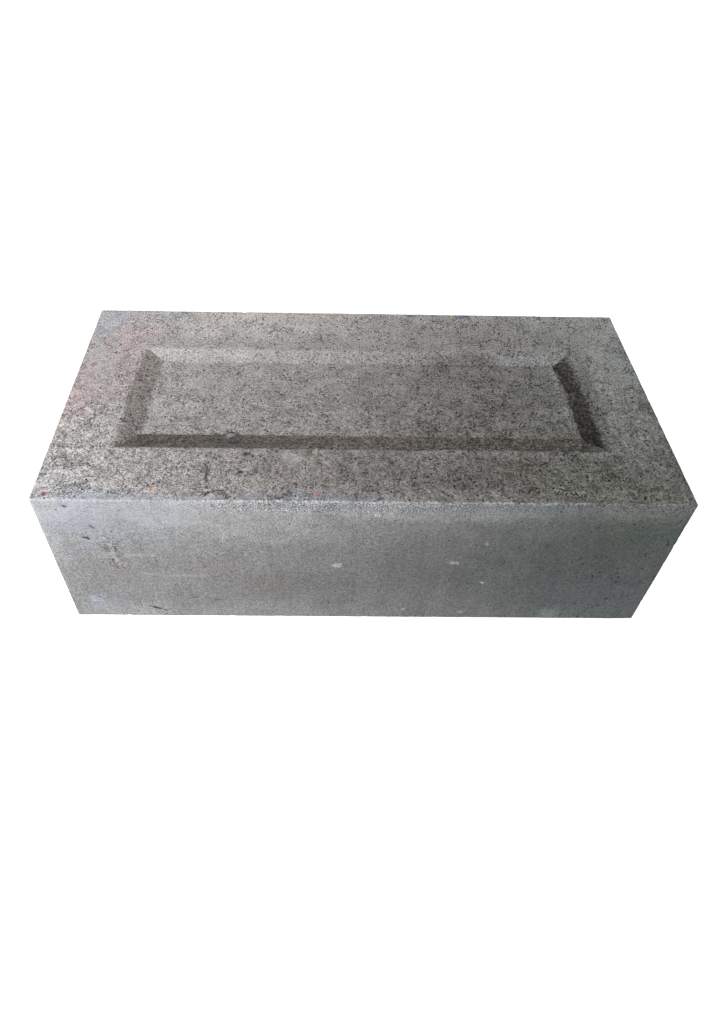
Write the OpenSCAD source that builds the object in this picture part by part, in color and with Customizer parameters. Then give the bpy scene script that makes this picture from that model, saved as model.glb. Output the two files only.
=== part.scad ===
// Pressed fly ash brick with a shallow rectangular frog in its upper bed.
// Millimetres. The origin is the middle of the lower bed, +X runs along the
// stretcher faces and +Z points up, out of the frog.

/* [Brick] */
// Length along the stretcher faces
brick_length = 230; // [210:1:300]
// Width across the header faces
brick_width = 110; // [90:1:150]
// Height from bed to bed
brick_height = 75; // [40:1:120]
// Radius that handling has worn on every arris
arris_radius = 0.8; // [0.4:0.1:3]

/* [Frog] */
// Length of the frog's floor
floor_length = 166; // [100:1:170]
// Width of the frog's floor
floor_width = 42.5; // [30:0.5:46]
// Depth from the upper bed down to the floor
frog_depth = 2.5; // [1:0.1:6]
// How far the floor's middle lies behind the middle of the bed
floor_offset = 0.7; // [-2:0.1:2]
// Width in plan of the sloping wall at each end of the floor
end_wall = 8.5; // [4:0.1:10]
// Width in plan of the sloping wall towards the front stretcher face
front_wall = 9.7; // [4:0.1:10]
// Width in plan of the sloping wall towards the back stretcher face
back_wall = 5.4; // [4:0.1:10]
// Radius that wear has put on the frog's rim
rim_radius = 2.5; // [0.5:0.1:3]
// Radius of the fillet between the frog's walls and its floor
floor_fillet = 2; // [0.5:0.1:3]

/* [Colour] */
// Colour of the cured mix
brick_colour = "DarkGray"; // [DarkGray, Gray, Silver, LightGray]

/* [Hidden] */
$fn = 48;
// Flats in each small arc of the frog's section
arc_steps = 4;
// How far the die reaches past the brick, so that its cut is clean
overshoot = 10;

// Rectangle centred on the origin, its four corners rounded to the radius r
module rounded_rectangle(x, y, r) {
    union() {
        square([x - 2 * r, y], center = true);
        square([x, y - 2 * r], center = true);
        for (i = [-1, 1], j = [-1, 1])
            translate([i * (x / 2 - r), j * (y / 2 - r)])
                circle(r = r);
    }
}

// Bar along Z whose section is a rounded rectangle, longer than length by the overshoot
module rounded_bar(x, y, length) {
    linear_extrude(height = length + 2 * overshoot, center = true)
        rounded_rectangle(x, y, arris_radius);
}

// The block on its lower bed: three bars at right angles share it, and each rounds four arrises
module block() {
    translate([0, 0, brick_height / 2])
        intersection() {
            rounded_bar(brick_length, brick_width, brick_height);
            rotate([90, 0, 0])
                rounded_bar(brick_length, brick_height, brick_width);
            rotate([90, 0, 90])
                rounded_bar(brick_width, brick_height, brick_length);
        }
}

// Points of an arc about centre, from one angle to another
function arc(centre, r, from, to) = [
    for (i = [0 : arc_steps])
        let (angle = from + (to - from) * i / arc_steps)
            centre + r * [cos(angle), sin(angle)]
];

// The same points on the other side of the middle, in the opposite order
function mirrored(points) = [
    for (i = [len(points) - 1 : -1 : 0])
        [-points[i].x, points[i].y]
];

// One side of the die's outline, from the frog's floor up past its mouth, which is at height 0.
// A tangent point lies radius * tan(slope / 2) from the corner that its arc rounds.
function side_outline(half_floor, wall) =
    let (
        slope = atan2(frog_depth, wall),
        fillet_run = floor_fillet * tan(slope / 2),
        rim_run = rim_radius * tan(slope / 2),
        fillet_centre = [half_floor - fillet_run, floor_fillet - frog_depth],
        rim_centre = [half_floor + wall + rim_run, -rim_radius]
    )
    concat(
        arc(fillet_centre, floor_fillet, -90, slope - 90),
        arc(rim_centre, rim_radius, slope + 90, 90),
        [[half_floor + wall + rim_run, overshoot]]
    );

// The die's section across one direction of the brick, with its own wall on each side
module die_section(floor_size, near_wall, far_wall) {
    far_side = side_outline(floor_size / 2, far_wall);
    near_side = side_outline(floor_size / 2, near_wall);
    polygon(concat(far_side, mirrored(near_side)));
}

// The die that presses the frog: two sections at right angles share it, which mitres its corners
module frog_die() {
    intersection() {
        rotate([90, 0, 0])
            linear_extrude(height = brick_width, center = true)
                die_section(floor_length, end_wall, end_wall);
        rotate([90, 0, 90])
            linear_extrude(height = brick_length, center = true)
                die_section(floor_width, front_wall, back_wall);
    }
}

// The whole brick, pressed as one piece
module brick() {
    color(brick_colour)
        difference() {
            block();
            translate([0, floor_offset, brick_height])
                frog_die();
        }
}

brick();
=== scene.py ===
"""Finishes a pressed fly ash brick: its grainy bed and frog, its mould-rubbed faces and its worn arrises."""

import functools
import math
import random

import bmesh
import bpy
from bpy.props import FloatProperty, FloatVectorProperty, IntProperty, PointerProperty
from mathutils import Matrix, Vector, kdtree, noise


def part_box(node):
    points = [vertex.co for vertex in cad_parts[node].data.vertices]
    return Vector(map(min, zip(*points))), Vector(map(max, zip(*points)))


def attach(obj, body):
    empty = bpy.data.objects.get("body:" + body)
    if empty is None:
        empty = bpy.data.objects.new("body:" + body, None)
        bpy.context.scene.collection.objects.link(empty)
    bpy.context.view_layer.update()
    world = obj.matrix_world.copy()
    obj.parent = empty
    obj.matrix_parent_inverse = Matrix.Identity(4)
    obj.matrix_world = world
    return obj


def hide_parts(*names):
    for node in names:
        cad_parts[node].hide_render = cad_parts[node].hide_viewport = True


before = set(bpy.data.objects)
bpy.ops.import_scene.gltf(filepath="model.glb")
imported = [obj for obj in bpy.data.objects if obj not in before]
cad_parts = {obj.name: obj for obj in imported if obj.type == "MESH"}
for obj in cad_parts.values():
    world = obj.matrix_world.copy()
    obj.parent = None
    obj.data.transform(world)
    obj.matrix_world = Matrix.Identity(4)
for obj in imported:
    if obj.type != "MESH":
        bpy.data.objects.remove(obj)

bl_info = {
    "name": "Fly Ash Brick",
    "version": (1, 0, 0),
    "blender": (4, 5, 0),
    "location": "3D View > Sidebar > Brick",
    "description": "Makes a pressed fly ash brick with a shallow frog",
    "category": "Object",
}

MM = 0.001
NODE = "brick"
LOW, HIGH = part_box(NODE)
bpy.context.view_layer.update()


def frog_corners():
    """Low and high corners of the frog's mouth and of its floor, read off the framed brick."""
    near = 0.01 * MM
    points = [v.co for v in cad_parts[NODE].data.vertices]
    # the frog lies well inside the arrises
    inner = [c for c in points if c.z > HIGH.z / 2 and abs(c.x) < 0.85 * HIGH.x and abs(c.y) < 0.6 * HIGH.y]
    floor_z = min(c.z for c in inner)
    corners = []
    for level in (HIGH.z, floor_z):
        ring = [c for c in inner if abs(c.z - level) < near]
        corners.append(Vector((min(c.x for c in ring), min(c.y for c in ring), level)))
        corners.append(Vector((max(c.x for c in ring), max(c.y for c in ring), level)))
    return corners


MOUTH_LOW, MOUTH_HIGH, FLOOR_LOW, FLOOR_HIGH = frog_corners()
FROG_DEPTH = HIGH.z - FLOOR_LOW.z
LEFT_WALL, RIGHT_WALL, FRONT_WALL, BACK_WALL = range(4)

# Planes of the faces and of the frog's floor in millimetres, for the tables of marks
LEFT, FRONT, _ = LOW / MM
RIGHT, BACK, TOP = HIGH / MM
FLOOR = FLOOR_LOW.z / MM

# Least outward part of a corner's normal for it to lie on a face
SQUARE = 0.7


# ---------------------------------------------------------------- settings


class BrickShape(bpy.types.PropertyGroup):
    """Sizes that the finish adds to the framed brick."""

    arris: FloatProperty(
        name="Arris",
        description="Radius of the worn arrises",
        default=0.8 * MM,
        unit="LENGTH",
    )
    bed_cell: FloatProperty(
        name="Bed cell",
        description="Width of a mesh cell on the upper bed and the front face",
        default=0.83 * MM,
        unit="LENGTH",
    )
    pore_depth: FloatProperty(
        name="Pore depth",
        description="Depth of the open grain on the upper bed",
        default=0.22 * MM,
        unit="LENGTH",
    )
    drag_depth: FloatProperty(
        name="Drag depth",
        description="Depth of the lines that the mould drags down the faces",
        default=0.05 * MM,
        unit="LENGTH",
    )
    wear_depth: FloatProperty(
        name="Wear depth",
        description="Depth to which the arrises have crumbled",
        default=0.10 * MM,
        unit="LENGTH",
    )
    ragged: FloatProperty(
        name="Ragged rim",
        description="How far the frog's rim and creases wander",
        default=0.7 * MM,
        unit="LENGTH",
    )
    bed_pits: IntProperty(name="Bed pits", description="How many pits the upper bed has", default=620)
    side_pits: IntProperty(name="Side pits", description="How many pits each pair of sides has", default=160)
    seed: IntProperty(name="Seed", description="Seed of the pits and chips", default=11)


class BrickColours(bpy.types.PropertyGroup):
    """Colours of the cured mix."""

    bed: FloatVectorProperty(
        name="Bed",
        description="Open grain of the beds",
        default=(0.297, 0.281, 0.273),
        size=3,
        subtype="COLOR",
    )
    face: FloatVectorProperty(
        name="Face",
        description="Smooth skin of the mould-rubbed faces",
        default=(0.300, 0.300, 0.301),
        size=3,
        subtype="COLOR",
    )
    # Also the painted shade at the bottom of the dents, pits and cracks
    pore: FloatVectorProperty(
        name="Pore",
        description="Bottom of the pores",
        default=(0.030, 0.028, 0.028),
        size=3,
        subtype="COLOR",
    )
    # Also the colour of the painted highlight along the lit arrises
    bloom: FloatVectorProperty(
        name="Bloom",
        description="Pale lime bloom on worn edges",
        default=(0.55, 0.57, 0.60),
        size=3,
        subtype="COLOR",
    )


class StudioSettings(bpy.types.PropertyGroup):
    """Camera, lamps and room."""

    camera_place: FloatVectorProperty(
        name="Camera place",
        description="Where the camera stands, from the middle of the lower bed",
        default=(-0.0152, -0.2104, 0.2643),
        size=3,
        subtype="TRANSLATION",
        unit="LENGTH",
    )
    camera_turn: FloatVectorProperty(
        name="Camera turn",
        description="The camera's turn about X, Y and Z",
        default=(math.radians(45.54), math.radians(-1.13), math.radians(-0.22)),
        size=3,
        subtype="EULER",
        unit="ROTATION",
    )
    lens: FloatProperty(
        name="Lens",
        description="Focal length in millimetres",
        default=25.07,
        unit="CAMERA",
    )
    shift: FloatVectorProperty(
        name="Shift",
        description="Shift of the camera's lens",
        default=(0.027, -0.085),
        size=2,
    )
    lamp_width: FloatProperty(
        name="Lamp width",
        description="Diameter of the round soft lights",
        default=0.12,
        unit="LENGTH",
    )
    key_place: FloatVectorProperty(
        name="Key place",
        description="Where the light in front of the brick hangs",
        default=(-0.17, -0.16, 0.20),
        size=3,
        subtype="TRANSLATION",
        unit="LENGTH",
    )
    key_watts: FloatProperty(
        name="Key light",
        description="Power of the light in front of the brick",
        default=0.76,
    )
    back_place: FloatVectorProperty(
        name="Back place",
        description="Where the light behind the brick hangs",
        default=(0.25, 0.20, 0.30),
        size=3,
        subtype="TRANSLATION",
        unit="LENGTH",
    )
    back_watts: FloatProperty(
        name="Back light",
        description="Power of the light behind the brick",
        default=0.56,
    )
    fill: FloatProperty(
        name="Fill",
        description="Brightness of the room all round",
        default=0.15,
    )


# ---------------------------------------------------------------- the brick's form


def on_bed(normal):
    """Whether a normal belongs to the upper bed or its frog."""
    return normal.z > SQUARE


def on_front(normal):
    """Whether a normal belongs to the front face."""
    return normal.y < -SQUARE


def halve(bm, axis, place):
    """Cuts the whole mesh across an axis at a place."""
    normal = Vector((0, 0, 0))
    normal[axis] = 1
    geom = bm.verts[:] + bm.edges[:] + bm.faces[:]
    bmesh.ops.bisect_plane(bm, geom=geom, dist=1e-7, plane_co=normal * place, plane_no=normal)


def rough_block(bm, arris):
    """The block with rounded arrises."""
    size = HIGH - LOW
    cube = bmesh.ops.create_cube(bm, size=1)
    bmesh.ops.scale(bm, vec=size, verts=cube["verts"])
    bmesh.ops.translate(bm, vec=(LOW + HIGH) / 2, verts=cube["verts"])
    bmesh.ops.bevel(
        bm,
        geom=bm.edges[:],
        affect="EDGES",
        offset=arris,
        segments=3,
        profile=0.5,
        material=-1,
        clamp_overlap=True,
    )


def press_frog(bm):
    """Marks the mouth out on the upper bed and presses the sloping walls and the floor into it."""
    for axis in (0, 1):
        halve(bm, axis, MOUTH_LOW[axis])
        halve(bm, axis, MOUTH_HIGH[axis])
    middle = (MOUTH_LOW + MOUTH_HIGH) / 2
    mouth = min(bm.faces, key=lambda f: (f.calc_center_median() - middle).length)
    bmesh.ops.inset_region(bm, faces=[mouth], thickness=MM, use_even_offset=True, use_boundary=True)
    for v in mouth.verts:
        v.co.x = FLOOR_LOW.x if v.co.x < middle.x else FLOOR_HIGH.x
        v.co.y = FLOOR_LOW.y if v.co.y < middle.y else FLOOR_HIGH.y
        v.co.z = FLOOR_LOW.z


def cut_along(bm, axis, low, high, pitch):
    """Cuts all the edges that run along an axis between low and high to steps of about a pitch."""
    edges = []
    for e in bm.edges:
        start, end = e.verts[0].co, e.verts[1].co
        run = end - start
        if abs(run[axis]) > 0.99 * run.length and low < (start[axis] + end[axis]) / 2 < high:
            edges.append(e)
    bmesh.ops.subdivide_edges(bm, edges=edges, cuts=round((high - low) / pitch) - 1)


def cut_cells(bm, arris, cell):
    """Cuts the faces to square cells, twice as wide off the upper bed and the front face."""
    wide = 2 * cell
    for axis in (0, 1):
        places = (LOW[axis] + arris, MOUTH_LOW[axis], MOUTH_HIGH[axis], HIGH[axis] - arris)
        for low, high in zip(places, places[1:], strict=False):
            cut_along(bm, axis, low, high, wide)
    cut_along(bm, 2, LOW.z + arris, HIGH.z - arris, wide)
    slopes = [e for e in bm.edges if abs(abs(e.verts[0].co.z - e.verts[1].co.z) - FROG_DEPTH) < 1e-6]
    width = FLOOR_LOW.x - MOUTH_LOW.x
    bmesh.ops.subdivide_edges(bm, edges=slopes, cuts=round(width / wide) - 1)
    bm.normal_update()
    fine = [f for f in bm.faces if f.normal.z > 0.2 or on_front(f.normal)]
    edges = list(dict.fromkeys(e for f in fine for e in f.edges))
    bmesh.ops.subdivide_edges(bm, edges=edges, cuts=1, use_grid_fill=True)


# ---------------------------------------------------------------- the brick's relief


def grain(point, size, seed=0.0):
    """Smooth noise from -1 to 1 with lumps of the given size."""
    return noise.noise(point / size + Vector((seed, 7.3 * seed, 3.1 * seed)))


def smooth(value, low, high):
    """Goes smoothly from 0 to 1 as value goes from low to high."""
    share = min(max((value - low) / (high - low), 0.0), 1.0)
    return share * share * (3 - 2 * share)


def arris_distance(point):
    """How far a point on the surface is from the nearest arris."""
    gaps = sorted((HIGH.x - abs(point.x), HIGH.y - abs(point.y), HIGH.z - point.z, point.z - LOW.z))
    return max(gaps[1], 0.0)


def wall_share(x, y):
    """How far down the frog's nearest wall a place lies, 0 at its top and 1 at its foot, and which it is."""
    shares = (
        (x - MOUTH_LOW.x) / (FLOOR_LOW.x - MOUTH_LOW.x),
        (MOUTH_HIGH.x - x) / (MOUTH_HIGH.x - FLOOR_HIGH.x),
        (y - MOUTH_LOW.y) / (FLOOR_LOW.y - MOUTH_LOW.y),
        (MOUTH_HIGH.y - y) / (MOUTH_HIGH.y - FLOOR_HIGH.y),
    )
    side = min(range(4), key=shares.__getitem__)
    return min(max(shares[side], 0.0), 1.0), side


def wander(point, shape):
    """How far the pressed frog's outline is off its true place here: most on its torn end walls."""
    torn = max(smooth(point.x, 70 * MM, 84 * MM), 0.7 * smooth(-point.x, 74 * MM, 84 * MM))
    reach = shape.ragged * (0.45 + 1.7 * torn)
    # the end walls also spread towards the back
    leaning = 1.5 * MM * smooth(point.y, 4 * MM, 27 * MM) * smooth(abs(point.x), 70 * MM, 78 * MM)
    coarse, fine = 5.5 * MM, 1.9 * MM
    x = 0.6 * grain(point, coarse, 10) + 0.45 * grain(point, fine, 11)
    y = 0.6 * grain(point, coarse, 12) + 0.45 * grain(point, fine, 13)
    return reach * x + math.copysign(leaning, point.x), reach * y


def pressed_wall(point, shape):
    """How far down which of the frog's walls a place lies, where the outline has wandered."""
    off_x, off_y = wander(point, shape)
    return wall_share(point.x + off_x, point.y + off_y)


def bed_relief(point, shape):
    """Depth of the open grain on a bed."""
    fine = max(0.0, grain(point, 1.5 * MM, 1) + 0.1)
    middle = max(0.0, grain(point, 3.4 * MM, 2) + 0.05)
    wide = max(0.0, grain(point, 24 * MM, 3) + 0.2)
    return shape.pore_depth * (0.8 * fine + 0.8 * middle + 0.7 * wide)


def face_relief(point, shape):
    """Depth of the drag lines and the shallow hollows on a mould-rubbed face."""
    across = Vector((point.x / (1.8 * MM), point.y / (1.8 * MM), point.z / (22 * MM)))
    drag = max(0.0, noise.noise(across))
    wide = max(0.0, grain(point, 16 * MM, 5))
    fine = max(0.0, grain(point, 3 * MM, 6) - 0.1)
    crumbly = smooth(point.z, HIGH.z - 9 * MM, HIGH.z - 2 * MM) * max(0.0, grain(point, 3 * MM, 7) + 0.1)
    return shape.drag_depth * (drag + 1.6 * wide + fine + 1.8 * crumbly)


def arris_relief(point, shape):
    """Depth of the crumbling along an arris."""
    near = math.exp(-arris_distance(point) / (1.0 * MM))
    crumbs = max(0.0, grain(point, 2.6 * MM, 8) + 0.1)
    bites = max(0.0, grain(point, 11 * MM, 9))
    return shape.wear_depth * near * (crumbs + 0.8 * bites)


def sculpt(bm, shape):
    """Moves every corner of the mesh inwards by the relief of its place."""
    bm.normal_update()
    moves = []
    for v in bm.verts:
        point, normal = v.co.copy(), v.normal
        flat = normal.z**2
        depth = flat * bed_relief(point, shape) + (1 - flat) * face_relief(point, shape)
        depth += arris_relief(point, shape)
        move = -normal * depth
        if on_bed(normal):
            change = pressed_wall(point, shape)[0] - wall_share(point.x, point.y)[0]
            move.z -= FROG_DEPTH * change
        moves.append(move)
    for v, move in zip(bm.verts, moves, strict=True):
        v.co += move


def worn_and_lit_share(point):
    """How pale an arris shows, partly worn bare and partly painted highlight where the lamp catches it: most
    along the upper bed's front and left.
    """
    upper = smooth(point.z, 0.9 * HIGH.z, HIGH.z)
    front = smooth(-point.y, 0.9 * HIGH.y, HIGH.y) * smooth(point.x, -70 * MM, -40 * MM)
    left = 0.6 * smooth(-point.x, 0.9 * HIGH.x, HIGH.x)
    return math.exp(-arris_distance(point) / (0.8 * MM)) * (0.3 + 0.7 * upper * max(front, left))


def crumbly_share(point):
    """How crumbly an upright face is: most just under the upper bed's front arris."""
    front = smooth(-point.y, 0.9 * HIGH.y, HIGH.y) * (0.35 + 0.65 * smooth(point.x, -80 * MM, -40 * MM))
    band = 10 * MM - 4 * MM * smooth(point.x, -10 * MM, 60 * MM)
    upper = smooth(point.z, HIGH.z - band, HIGH.z - 0.3 * band)
    lower = 0.4 * smooth(-point.z, -6 * MM, -1 * MM)
    return upper * (0.1 + 0.9 * front) + lower


def open_share(point, normal):
    """How open the grain is: most at the front of the upper bed and at the right of the front face."""
    if on_bed(normal):
        return 1 - 0.6 * smooth(point.y, -35 * MM, 35 * MM)
    if on_front(normal):
        return 0.55 + 0.45 * smooth(point.x, 0, 90 * MM)
    return 0.6


def grit_share(point, normal):
    """How strongly the grain stands out: most at the bed's right and least at the front face's upper left."""
    if on_bed(normal):
        right = smooth(point.x, -10 * MM, 60 * MM) - 0.6 * smooth(point.x, 88 * MM, 98 * MM)
        return 1 + 0.32 * right + 0.15 * smooth(-point.x, 80 * MM, 100 * MM)
    film = smooth(point.z, 54 * MM, 66 * MM) * smooth(-point.x, 40 * MM, 65 * MM)
    return 1 - 0.45 * film + 0.15 * crumbly_share(point)


def scattered_pits(shape):
    """Pits scattered over the upper bed and the upright faces: (centre, reach, depth)."""
    rng = random.Random(shape.seed)
    spots = []
    for _ in range(shape.bed_pits):
        centre = Vector((rng.uniform(LOW.x, HIGH.x), rng.uniform(LOW.y, HIGH.y), HIGH.z))
        radius = (0.58 + 0.22 * rng.random() + 0.5 * rng.random() ** 8) * MM
        spots.append((centre, (radius, radius, radius), rng.uniform(0.15, 0.45) * MM))
    for _ in range(shape.side_pits):
        for axis in (1, 0):
            centre = Vector([rng.uniform(low, high) for low, high in zip(LOW, HIGH, strict=True)])
            centre[axis] = HIGH[axis] * rng.choice((-1, 1))
            radius = rng.uniform(1.2, 1.6) * MM
            spots.append((centre, (radius, radius, radius), rng.uniform(0.04, 0.12) * MM))
    return spots


def arris_chips(shape):
    """Chips knocked off the arrises: (centre, reach, depth)."""
    rng = random.Random(shape.seed + 1)
    spacing = 9 * MM
    spots = []
    for along in range(3):
        others = [axis for axis in range(3) if axis != along]
        for corner in range(4):
            for _ in range(round((HIGH[along] - LOW[along]) / spacing)):
                centre = Vector((0, 0, 0))
                centre[along] = rng.uniform(LOW[along], HIGH[along])
                for axis, side in zip(others, (corner & 1, corner >> 1), strict=True):
                    centre[axis] = HIGH[axis] if side else LOW[axis]
                radius = (0.8 + 0.9 * rng.random() ** 4) * MM
                spots.append((centre, (radius, radius, radius), 0.12 * radius * rng.uniform(0.3, 1)))
    return spots


# Pits and lumps that stand out: centre, reach and depth in millimetres, where a lump's depth is below 0
LANDMARKS = (
    # pits of the upper bed
    ((2, -47.2, TOP), (0.8, 0.7, 2), 0.6),
    ((11.1, -49.7, TOP), (0.8, 0.7, 2), 0.5),
    ((-43.9, -41.3, TOP), (1.4, 1.0, 2), 0.6),
    ((-46.2, -42.6, TOP), (0.9, 0.7, 2), 0.45),
    ((-41.5, -42.2, TOP), (0.9, 0.7, 2), 0.45),
    ((-42.7, -32.5, TOP), (1.8, 1.1, 2), 0.6),
    ((-40.6, -33.4, TOP), (1.1, 0.9, 2), 0.5),
    ((41.3, -34.1, TOP), (1.0, 0.7, 2), 0.6),
    ((39.3, -35.2, TOP), (0.8, 0.6, 2), 0.5),
    ((90.5, -35.6, TOP), (0.9, 0.7, 2), 0.4),
    ((60.4, -50.1, TOP), (0.7, 1.0, 2), 0.5),
    ((97, -51.9, TOP), (0.8, 1.2, 2), 0.5),
    ((95.5, -54, TOP), (1.3, 0.7, 2), 0.4),
    ((-102.1, 25.1, TOP), (1.1, 0.9, 2), 0.5),
    ((-90.4, -15.9, TOP), (1.0, 0.8, 2), 0.5),
    ((-88.7, 8.6, TOP), (1.6, 0.8, 2), 0.5),
    ((24, 43, TOP), (1.4, 0.7, 2), 0.4),
    ((-85, -36, TOP), (1.6, 0.7, 2), 0.4),
    ((83, 20.2, TOP), (1.6, 1.2, 2), 0.7),
    # lump on the frog's front crease, and the ridge along its right one
    ((-49.6, -21.4, FLOOR), (2.4, 1.6, 2), -0.8),
    ((-52.3, -20.6, FLOOR), (1.2, 0.9, 2), 0.7),
    ((-49.4, -19.3, FLOOR), (1.6, 0.8, 2), 0.6),
    ((-47.0, -20.8, FLOOR), (1.0, 1.0, 2), 0.7),
    ((81.4, 9, FLOOR), (1.3, 9, 2), -0.5),
    ((82, -8, FLOOR), (1.3, 10, 2), -0.5),
    # smooth patch pressed into the bed's front margin
    ((-27, -34.6, TOP), (4.2, 2.8, 2), 0.25),
    # pits and shallow scuffs of the front face
    ((-103.3, FRONT, 70.9), (1.0, 2, 1.0), 0.6),
    ((-14.4, FRONT, 54), (0.8, 2, 0.7), 0.4),
    ((-27, FRONT, 50), (4.0, 2, 2.4), 0.12),
    ((-92.4, FRONT, 49), (1.6, 2, 4.0), 0.15),
    ((-92.5, FRONT, 39), (1.6, 2, 5.0), 0.15),
    ((9.1, FRONT, 41.8), (0.7, 2, 0.7), 0.35),
    ((58.8, FRONT, 50.9), (0.8, 2, 0.8), 0.4),
    ((68.3, FRONT, 49.6), (0.7, 2, 0.7), 0.35),
    ((81.9, FRONT, 54.1), (0.7, 2, 0.8), 0.35),
    ((82.7, FRONT, 49.8), (0.9, 2, 0.9), 0.45),
    ((82.7, FRONT, 42.8), (0.7, 2, 0.7), 0.4),
    ((88.2, FRONT, 42.3), (0.7, 2, 0.7), 0.35),
    ((76.5, FRONT, 34.2), (0.9, 2, 0.9), 0.45),
    ((99.2, FRONT, 33.1), (0.9, 2, 1.0), 0.5),
    ((90.3, FRONT, 27.5), (0.7, 2, 0.7), 0.35),
    ((100.2, FRONT, 22), (0.7, 2, 0.7), 0.35),
    ((88.4, FRONT, 11.5), (0.9, 2, 0.9), 0.45),
    # pits of the headers and the back face
    ((RIGHT, -31, 63), (2, 1.6, 1.5), 0.45),
    ((RIGHT, 8, 30), (2, 1.5, 1.5), 0.4),
    ((RIGHT, 40, 52), (2, 1.6, 1.6), 0.4),
    ((LEFT, 30, 22), (2, 1.6, 1.5), 0.45),
    ((LEFT, -12, 50), (2, 1.5, 1.5), 0.4),
    ((-84, BACK, 18), (1.6, 2, 1.5), 0.45),
    ((-12, BACK, 58), (1.5, 2, 1.5), 0.4),
    ((47, BACK, 33), (1.6, 2, 1.6), 0.45),
    ((96, BACK, 62), (1.5, 2, 1.5), 0.4),
)

# Crooked cracks: points in millimetres, depth
CRACKS = (
    (((-55.6, -52.1, TOP), (-54.1, -50.7, TOP), (-51.1, -50, TOP)), 0.48),
    (((-51.1, -50, TOP), (-49.5, -50, TOP), (-47.3, -53.3, TOP)), 0.48),
    (((-56.3, -38.6, TOP), (-55.8, -42.4, TOP), (-56.2, -44.6, TOP), (-54.9, -46.6, TOP)), 0.46),
    (((4.1, -53.7, TOP), (5.2, -52.7, TOP), (6.2, -53.7, TOP)), 0.4),
    (((-110.9, -52.6, TOP), (-109.9, -51.8, TOP), (-108.6, -52.1, TOP)), 0.4),
    (((47.8, -44.3, TOP), (48.6, -46.2, TOP), (47.8, -48.9, TOP)), 0.4),
    (((83.2, 20, TOP), (83.6, 17, TOP), (85.4, 13, TOP), (86, 9, TOP)), 0.6),
    (((-84.5, FRONT, 7.2), (-82.2, FRONT, 6.6), (-80.7, FRONT, 5.4), (-78.1, FRONT, 3.9)), 0.42),
    (((-82.4, FRONT, 6.5), (-80.9, FRONT, 5.7)), 1.0),
    (((-100.9, FRONT, 53.2), (-99.6, FRONT, 52.7)), 0.8),
    (((-96.9, FRONT, 59.6), (-96.3, FRONT, 58.9)), 0.5),
    (((-66, FRONT, 14.3), (-63.2, FRONT, 14)), 0.34),
    (((-57, FRONT, 13.2), (-55.0, FRONT, 12.5)), 0.34),
    (((-93.3, FRONT, 50.8), (-92.9, FRONT, 49.8)), 0.4),
    (((-92.2, FRONT, 52.4), (-91.4, FRONT, 52)), 0.35),
    (((-91, FRONT, 47.4), (-90.8, FRONT, 46.2)), 0.4),
    (((-93.2, FRONT, 40.2), (-92.8, FRONT, 39.2)), 0.4),
    (((-92, FRONT, 36.8), (-91.4, FRONT, 37.6)), 0.4),
    (((-94.0, FRONT, 46.2), (-93.6, FRONT, 45.2)), 0.4),
    (((-90.6, FRONT, 43.4), (-90.2, FRONT, 42.4)), 0.35),
    (((-89.9, FRONT, 38.9), (-89.4, FRONT, 38.3)), 0.35),
)


def walk(points):
    """Places half a millimetre apart along a crooked line, whose points are in millimetres."""
    for start, end in zip(points, points[1:], strict=False):
        steps = max(round((Vector(end) - Vector(start)).length / 0.5), 1)
        for step in range(steps + 1):
            yield Vector(start).lerp(Vector(end), step / steps) * MM


def landmarks():
    """The pits, lumps and cracks that stand out: (centre, reach, depth)."""
    spots = [(Vector(centre) * MM, Vector(reach) * MM, depth * MM) for centre, reach, depth in LANDMARKS]
    narrow = 0.85 * MM
    for points, depth in CRACKS:
        spots += [(centre, (narrow, narrow, narrow), depth * MM) for centre in walk(points)]
    return spots


class Surface:
    """The corners of the mesh while it is still smooth, and the ones near a place."""

    def __init__(self, bm):
        self.points = [v.co.copy() for v in bm.verts]
        self.normals = [v.normal.copy() for v in bm.verts]
        self.corners = list(zip(self.points, self.normals, strict=True))
        self.tree = kdtree.KDTree(len(self.points))
        for index, point in enumerate(self.points):
            self.tree.insert(point, index)
        self.tree.balance()

    def near(self, centre, reach, ripple, lump):
        """Yields each corner near a place with its share: 1 in the middle and 0 at its rippled edge."""
        middle = Vector(centre)
        if abs(middle.z - HIGH.z) < 0.1 * MM:
            middle.z -= FROG_DEPTH * wall_share(middle.x, middle.y)[0]
        for _, index, _ in self.tree.find_range(middle, max(reach) * (1 + ripple)):
            point = self.points[index]
            length = math.hypot(*(o / r for o, r in zip(point - middle, reach, strict=True)))
            length += ripple * (grain(point, lump, 20) + 0.6 * grain(point, lump / 3, 21))
            if length < 1:
                yield index, 1 - length

    def patch(self, centre, reach):
        """Yields each corner in a soft-edged patch, given in millimetres, with its share."""
        for index, share in self.near(Vector(centre) * MM, Vector(reach) * MM, 0.35, 6 * MM):
            yield index, smooth(share, 0.0, 0.6)


def dent(bm, surface, spots):
    """Presses a rounded dent at each spot, and returns how deep each corner of the mesh then lies."""
    hollow = [0.0] * len(bm.verts)
    for centre, reach, depth in spots:
        for index, share in surface.near(centre, reach, 0.4, 1.4 * MM):
            part = depth * share * (2 - share)
            hollow[index] = max(hollow[index], part) if depth > 0 else hollow[index] + part
    for v, normal, depth in zip(bm.verts, surface.normals, hollow, strict=True):
        v.co -= normal * depth
    return hollow


# ---------------------------------------------------------------- laying out and colouring the mesh


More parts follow.
